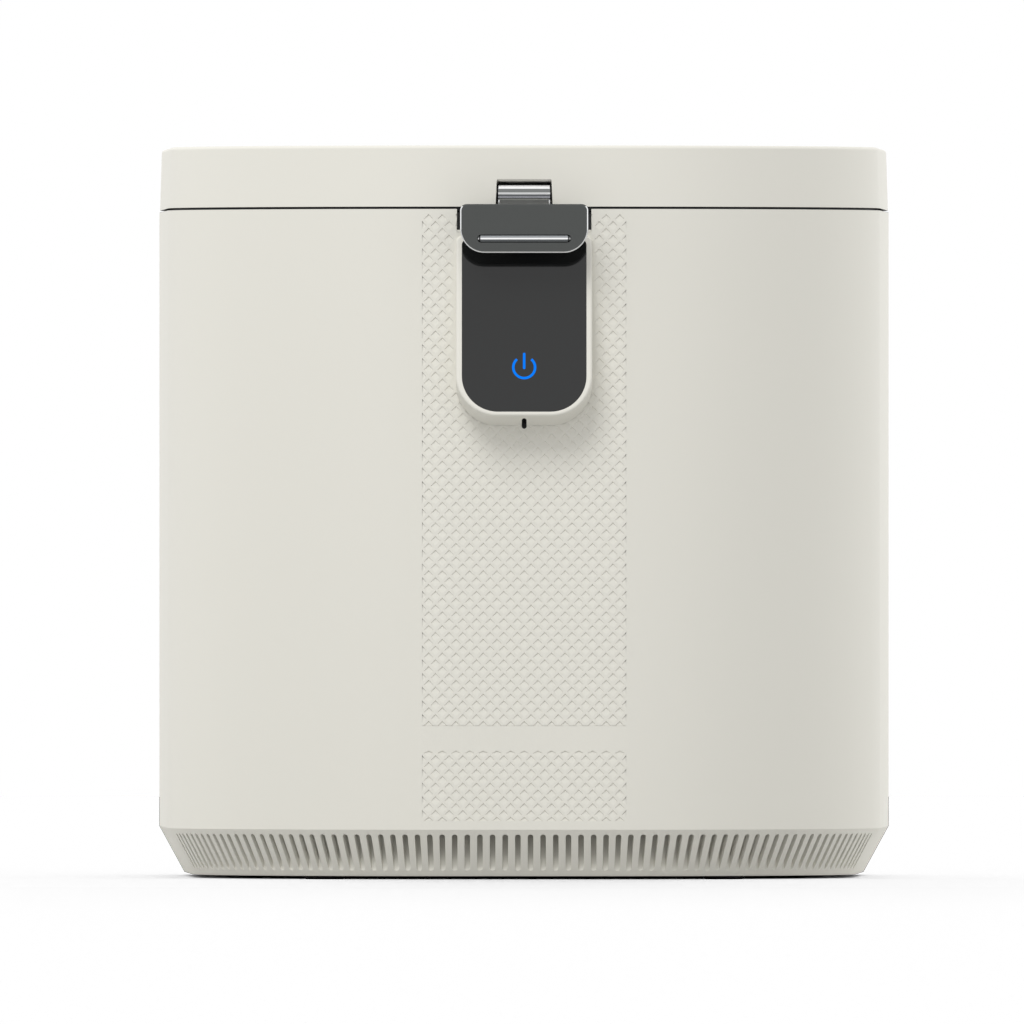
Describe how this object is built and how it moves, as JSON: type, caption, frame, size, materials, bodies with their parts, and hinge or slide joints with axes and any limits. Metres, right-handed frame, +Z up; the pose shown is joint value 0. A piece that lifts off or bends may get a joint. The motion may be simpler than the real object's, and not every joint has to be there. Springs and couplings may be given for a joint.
{
  "type": "electric food waste composter",
  "caption": "Countertop electric food waste composter with a latched lid, lift-out bucket, driven agitator, heated well, gear train and rear carbon filter drawer.",
  "frame": {"origin": "on the floor under the middle of the whole object, latch and rear hinge included", "axes": "+Z up; -Y is the front with the latch and touch panel; +X to the right"},
  "size_m": [0.322, 0.33, 0.32],
  "materials": {
    "body_plastic": "satin moulded",
    "dark_plastic": "matte moulded",
    "gear_plastic": "moulded acetal",
    "dark_metal": "satin",
    "chrome": "polished",
    "steel": "zinc plated",
    "motor_steel": "pressed can",
    "cast_steel": "cast, blasted",
    "bronze": "sintered",
    "aluminium": "satin",
    "bucket_aluminium": "non-stick coated",
    "black_glass": "gloss",
    "light_guide": "lit",
    "circuit_board": "solder mask",
    "insulation": "fibre blanket",
    "carbon": "pressed granules",
    "silicone": "matte",
    "rubber": "matte"
  },
  "bodies": {
    "housing": {"outer_housing": "body_plastic", "base_tray": "body_plastic", "foot_front_left": "rubber", "foot_front_right": "rubber", "foot_rear_left": "rubber", "foot_rear_right": "rubber", "housing_screws": "steel", "control_bezel": "body_plastic", "touch_panel": "black_glass", "led_light_guide": "light_guide", "control_board": "circuit_board", "top_deck": "dark_plastic", "latch_keeper": "steel", "well_liner": "aluminium", "well_insulation": "insulation", "heater_plate": "aluminium", "heating_element": "steel", "thermostat": "dark_plastic", "shaft_seal": "silicone", "gearbox_base": "dark_plastic", "gearbox_cover": "dark_plastic", "gearbox_screws": "steel", "output_bearing": "steel", "idler_axle": "steel", "drive_motor": "motor_steel", "reed_switch": "dark_plastic", "hinge_body_leaves": "dark_metal", "hinge_pins": "steel", "filter_sleeve": "dark_plastic", "blower_housing": "dark_plastic", "blower_motor": "motor_steel", "exhaust_grille": "dark_plastic", "cooling_fan_frame": "dark_plastic", "power_board": "circuit_board", "power_inlet": "dark_plastic"},
    "lid": {"lid_shell": "body_plastic", "lid_liner": "dark_plastic", "lid_seal": "silicone", "lid_magnet": "steel", "latch_pivot_bar": "chrome", "lid_screws": "steel", "hinge_lid_leaves": "dark_metal"},
    "latch": {"latch_paddle": "dark_metal", "latch_inlay": "chrome"},
    "bucket": {"bucket": "bucket_aluminium", "bucket_bush": "bronze", "handle_lugs": "steel"},
    "handle_left": {"bucket_handle_left": "dark_plastic"},
    "handle_right": {"bucket_handle_right": "dark_plastic"},
    "agitator": {"agitator": "cast_steel", "agitator_coupling": "steel"},
    "output_drive": {"output_gear": "gear_plastic", "output_shaft": "steel", "drive_dog": "steel"},
    "idler": {"idler_gear": "gear_plastic"},
    "pinion": {"motor_pinion": "steel"},
    "filter_drawer": {"filter_drawer": "body_plastic", "carbon_filter": "carbon"},
    "blower_wheel": {"blower_impeller": "dark_plastic"},
    "fan_rotor": {"cooling_fan_rotor": "dark_plastic"}
  },
  "joints": [
    {"name": "lid_hinge", "type": "hinge", "parent": "housing", "child": "lid", "pos_m": [0, 0.1602, 0.2932], "axis": [-1, 0, 0], "range_deg": [0, 95]},
    {"name": "latch_pivot", "type": "hinge", "parent": "lid", "child": "latch", "pos_m": [0, -0.1414, 0.2998], "axis": [-1, 0, 0], "range_deg": [0, 50]},
    {"name": "bucket_lift", "type": "slide", "parent": "housing", "child": "bucket", "axis": [0, 0, 1], "range_m": [0, 0.026]},
    {"name": "handle_left_fold", "type": "hinge", "parent": "bucket", "child": "handle_left", "pos_m": [-0.104, -0.028, 0.2594], "axis": [0, 1, 0], "range_deg": [0, 90]},
    {"name": "handle_right_fold", "type": "hinge", "parent": "bucket", "child": "handle_right", "pos_m": [0.104, -0.028, 0.2594], "axis": [0, -1, 0], "range_deg": [0, 90]},
    {"name": "agitator_spin", "type": "hinge", "parent": "bucket", "child": "agitator", "pos_m": [0, -0.028, 0.12], "axis": [0, 0, 1], "continuous": true},
    {"name": "output_spin", "type": "hinge", "parent": "housing", "child": "output_drive", "pos_m": [0, -0.028, 0.07], "axis": [0, 0, 1], "continuous": true},
    {"name": "idler_spin", "type": "hinge", "parent": "housing", "child": "idler", "pos_m": [0.01898, 0.02415, 0.06], "axis": [0, 0, 1], "continuous": true},
    {"name": "pinion_spin", "type": "hinge", "parent": "housing", "child": "pinion", "pos_m": [0.04496, 0.03915, 0.06], "axis": [0, 0, 1], "continuous": true},
    {"name": "filter_drawer_slide", "type": "slide", "parent": "housing", "child": "filter_drawer", "axis": [0, 1, 0], "range_m": [0, 0.06]},
    {"name": "blower_spin", "type": "hinge", "parent": "housing", "child": "blower_wheel", "pos_m": [0.04, 0.117, 0.145], "axis": [0, 0, 1], "continuous": true},
    {"name": "cooling_fan_spin", "type": "hinge", "parent": "housing", "child": "fan_rotor", "pos_m": [0.108, 0.098, 0.018], "axis": [0, 0, 1], "continuous": true}
  ],
  "couplings": [
    {"joint": "output_spin", "follows": "agitator_spin", "ratio": 1},
    {"joint": "idler_spin", "follows": "agitator_spin", "ratio": -4.2857},
    {"joint": "pinion_spin", "follows": "agitator_spin", "ratio": 17.143}
  ]
}
